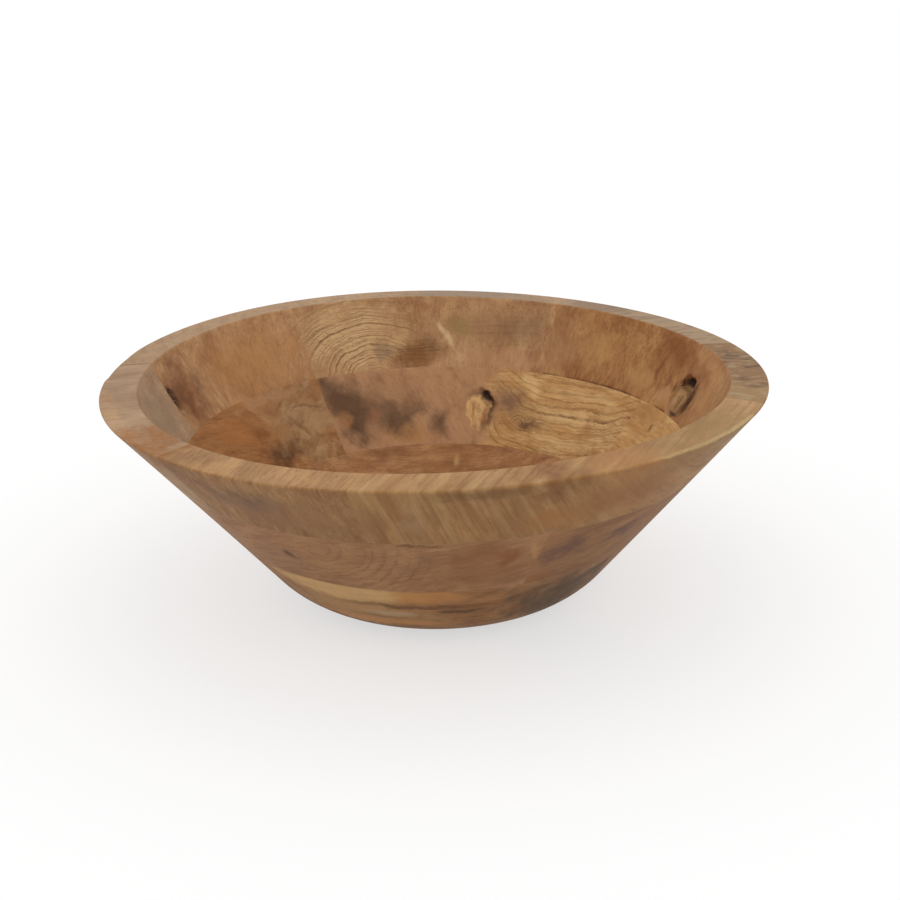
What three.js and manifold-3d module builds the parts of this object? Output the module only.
// A turned wooden bowl, glued up from blocks in three flat layers.
// Units are millimetres, +Z is up, and the origin is the middle of the underside.
// Angles are in degrees, anticlockwise seen from above, starting at +X.

import * as THREE from "three";
import { mergeVertices, toCreasedNormals } from "three/addons/utils/BufferGeometryUtils.js";
import Module from "manifold-3d";

// The outside
const RIM_DIAMETER = 300;
const HEIGHT = 103; // underside to the top of the rim
const BASE_DIAMETER = 88; // the flat that the bowl stands on
const FOOT_ROUND = 47; // radius that turns the underside up into the wall

// The rim and the inside
const RIM_WIDTH = 17; // the flat top of the rim
const RIM_FALL = 1; // drop of that flat from its inner to its outer edge
const EDGE_EASE = 1; // chamfer along both edges of that flat
const WALL = 7; // thickness square to the wall
const RIM_CURVE = 200; // radius by which the wall thickens up into the rim
const FLOOR_THICKNESS = 16;
const FLOOR_ROUND = 55; // radius between the floor and the inner wall

// The layers, from below: base, middle and, for the rest of the height, rim
const BASE_LAYER = 37;
const MIDDLE_LAYER = 33;
const GLUE_LINE = 0.3; // space that the glue takes between neighbouring pieces

// Each block starts at its own seam and ends at the next block's seam.
const RIM_BLOCKS = [
  { name: "rim_block_back_right", seam: 17, colour: "#97704d" },
  { name: "rim_block_back", seam: 61, colour: "#9e7753" },
  { name: "rim_block_left", seam: 171, colour: "#ab8e72" },
  { name: "rim_block_front_left", seam: 222, colour: "#a57e59" },
  { name: "rim_block_front", seam: 257, colour: "#ac865c" },
  { name: "rim_block_right", seam: 339, colour: "#987c63" },
];
const MIDDLE_BLOCKS = [
  { name: "middle_block_back", seam: 28, colour: "#a98058" },
  { name: "middle_block_left", seam: 122, colour: "#8c613f" },
  { name: "middle_block_front", seam: 203, colour: "#825e43" },
  { name: "middle_block_right", seam: 291, colour: "#85644e" },
];
const BASE_DISC = { name: "base_disc", colour: "#936542" };

// Hollows of two open knots in the inner wall. "below" is measured down from the top of the rim,
// and the three sizes run round the bowl, up the wall and into the wood.
const KNOT_HOLLOWS = [
  { angle: 13.5, below: 18, across: 13, up: 8, deep: 4 },
  { angle: 75.5, below: 46, across: 7, up: 10, deep: 3 },
];

const WOOD_ROUGHNESS = 0.5;

// How finely round shapes are divided, and how sharp an edge has to be to show as one
const LATHE_SEGMENTS = 72;
const ARC_DIVISIONS = 4;
const KNOT_SEGMENTS = 16;
const KNOT_RINGS = 10;
const CREASE_DEGREES = 30;

const wasm = await Module();
wasm.setup();

const rad = THREE.MathUtils.degToRad;
const rimRadius = RIM_DIAMETER / 2;
const baseRadius = BASE_DIAMETER / 2;

// The section of the bowl, in a plane through its axis: x is the radius and y the height.
// The rim's corners, from its widest point over the flat top to the top of the inner wall:
const rimOuter = new THREE.Vector2(rimRadius, HEIGHT - RIM_FALL - EDGE_EASE);
const topOuter = new THREE.Vector2(rimRadius - EDGE_EASE, HEIGHT - RIM_FALL);
const topInner = new THREE.Vector2(rimRadius - RIM_WIDTH + EDGE_EASE, HEIGHT);
const rimInner = new THREE.Vector2(rimRadius - RIM_WIDTH, HEIGHT - EDGE_EASE);
const footCentre = new THREE.Vector2(baseRadius, FOOT_ROUND);

// The outer wall runs from the rim's outer edge and touches the round of the foot.
const footToRim = rimOuter.clone().sub(footCentre);
const wallAngle = footToRim.angle() + Math.asin(FOOT_ROUND / footToRim.length());
const upWall = new THREE.Vector2(Math.cos(wallAngle), Math.sin(wallAngle));
const outward = new THREE.Vector2(upWall.y, -upWall.x);
const outwardAngle = wallAngle - Math.PI / 2;

// The inner wall is parallel to it, one wall thickness in, and the floor's round touches it.
const floorCentreHeight = FLOOR_THICKNESS + FLOOR_ROUND;
const floorCentre = new THREE.Vector2(
  rimOuter.x +
    ((floorCentreHeight - rimOuter.y) * upWall.x - WALL - FLOOR_ROUND) / upWall.y,
  floorCentreHeight,
);

// Near the top it leaves that line in an arc that ends at the rim's inner edge.
const rimExtra = rimOuter.clone().sub(rimInner).dot(outward) - WALL;
const curveRun = Math.sqrt(2 * RIM_CURVE * rimExtra - rimExtra ** 2);
const curveStart = rimInner
  .clone()
  .addScaledVector(outward, rimExtra)
  .addScaledVector(upWall, -curveRun);
const curveCentre = curveStart.clone().addScaledVector(outward, -RIM_CURVE);
const curveEndAngle = rimInner.clone().sub(curveCentre).angle();

function bowlSection() {
  const section = new THREE.Path();
  section.moveTo(0, 0);
  section.lineTo(baseRadius, 0);
  section.absarc(footCentre.x, footCentre.y, FOOT_ROUND, -Math.PI / 2, outwardAngle, false);
  section.lineTo(rimOuter.x, rimOuter.y);
  section.lineTo(topOuter.x, topOuter.y);
  section.lineTo(topInner.x, topInner.y);
  section.absarc(curveCentre.x, curveCentre.y, RIM_CURVE, curveEndAngle, outwardAngle, true);
  section.absarc(floorCentre.x, floorCentre.y, FLOOR_ROUND, outwardAngle, -Math.PI / 2, true);
  section.lineTo(0, FLOOR_THICKNESS);
  return section.getPoints(ARC_DIVISIONS);
}

// Radius of the inner wall at a height between the floor's round and the rim.
function innerRadius(height) {
  if (height < curveStart.y) {
    return curveStart.x - ((curveStart.y - height) * upWall.x) / upWall.y;
  }
  return curveCentre.x + Math.sqrt(RIM_CURVE ** 2 - (height - curveCentre.y) ** 2);
}

// A closed solid from a three.js geometry: shared vertices merged, collapsed triangles dropped.
function solidOf(geometry) {
  const bare = geometry.clone();
  bare.deleteAttribute("normal");
  bare.deleteAttribute("uv");
  const merged = mergeVertices(bare);
  const corners = merged.index.array;
  const triVerts = [];
  for (let i = 0; i < corners.length; i += 3) {
    const [a, b, c] = corners.slice(i, i + 3);
    if (a !== b && b !== c && c !== a) triVerts.push(a, b, c);
  }
  const mesh = new wasm.Mesh({
    numProp: 3,
    vertProperties: merged.attributes.position.array,
    triVerts: new Uint32Array(triVerts),
  });
  return new wasm.Manifold(mesh);
}

function geometryOf(solid) {
  const mesh = solid.getMesh();
  const geometry = new THREE.BufferGeometry();
  geometry.setAttribute("position", new THREE.BufferAttribute(mesh.vertProperties, 3));
  geometry.setIndex(new THREE.BufferAttribute(mesh.triVerts, 1));
  return toCreasedNormals(geometry, rad(CREASE_DEGREES));
}

// An egg-shaped hollow whose middle lies on the inner wall, tilted to the wall's slope.
function knotHollow({ angle, below, across, up, deep }) {
  const height = HEIGHT - below;
  const hollow = new THREE.SphereGeometry(1, KNOT_SEGMENTS, KNOT_RINGS);
  hollow.scale(deep, across / 2, up / 2);
  hollow.rotateY(Math.PI / 2 - wallAngle);
  hollow.translate(innerRadius(height), 0, height);
  hollow.rotateZ(rad(angle));
  return solidOf(hollow);
}

// The whole bowl as it leaves the lathe, with its open knots.
function turnedBowl() {
  const lathe = new THREE.LatheGeometry(bowlSection(), LATHE_SEGMENTS);
  lathe.rotateX(Math.PI / 2);
  return KNOT_HOLLOWS.map(knotHollow).reduce(
    (bowl, hollow) => bowl.subtract(hollow),
    solidOf(lathe),
  );
}

// The space that one block takes up: a wedge between two seams and two heights, less the glue.
function blockSpace(fromDegrees, toDegrees, bottom, top) {
  const from = rad(fromDegrees);
  const to = rad(toDegrees);
  const tipOut = GLUE_LINE / 2 / Math.sin((to - from) / 2);
  const middle = (from + to) / 2;
  const tip = new THREE.Vector2(Math.cos(middle), Math.sin(middle)).multiplyScalar(tipOut);
  const plan = new THREE.Shape();
  plan.absarc(tip.x, tip.y, RIM_DIAMETER, from, to, false);
  plan.lineTo(tip.x, tip.y);
  plan.closePath();
  const space = new THREE.ExtrudeGeometry(plan, { depth: top - bottom, bevelEnabled: false });
  space.translate(0, 0, bottom);
  return solidOf(space);
}

// The space of a layer that is one piece all the way across.
function slabSpace(bottom, top) {
  const space = new THREE.BoxGeometry(2 * RIM_DIAMETER, 2 * RIM_DIAMETER, top - bottom);
  space.translate(0, 0, (bottom + top) / 2);
  return solidOf(space);
}

function woodPiece(name, colour, solid) {
  const wood = new THREE.MeshStandardMaterial({
    color: colour,
    roughness: WOOD_ROUGHNESS,
    metalness: 0,
  });
  const piece = new THREE.Mesh(geometryOf(solid), wood);
  piece.name = name;
  return piece;
}

function ringLayer(bowl, blocks, bottom, top) {
  const layer = new THREE.Group();
  blocks.forEach(({ name, seam, colour }, i) => {
    const next = blocks[(i + 1) % blocks.length].seam;
    const end = next > seam ? next : next + 360;
    layer.add(woodPiece(name, colour, bowl.intersect(blockSpace(seam, end, bottom, top))));
  });
  return layer;
}

const bowl = turnedBowl();
const halfGlue = GLUE_LINE / 2;
const lowerJoint = BASE_LAYER;
const upperJoint = BASE_LAYER + MIDDLE_LAYER;
const above = HEIGHT + RIM_FALL;

const woodenBowl = new THREE.Group();
woodenBowl.name = "wooden_bowl";
woodenBowl.add(
  woodPiece(
    BASE_DISC.name,
    BASE_DISC.colour,
    bowl.intersect(slabSpace(-halfGlue, lowerJoint - halfGlue)),
  ),
);
woodenBowl.add(ringLayer(bowl, MIDDLE_BLOCKS, lowerJoint + halfGlue, upperJoint - halfGlue));
woodenBowl.add(ringLayer(bowl, RIM_BLOCKS, upperJoint + halfGlue, above));

export default woodenBowl;
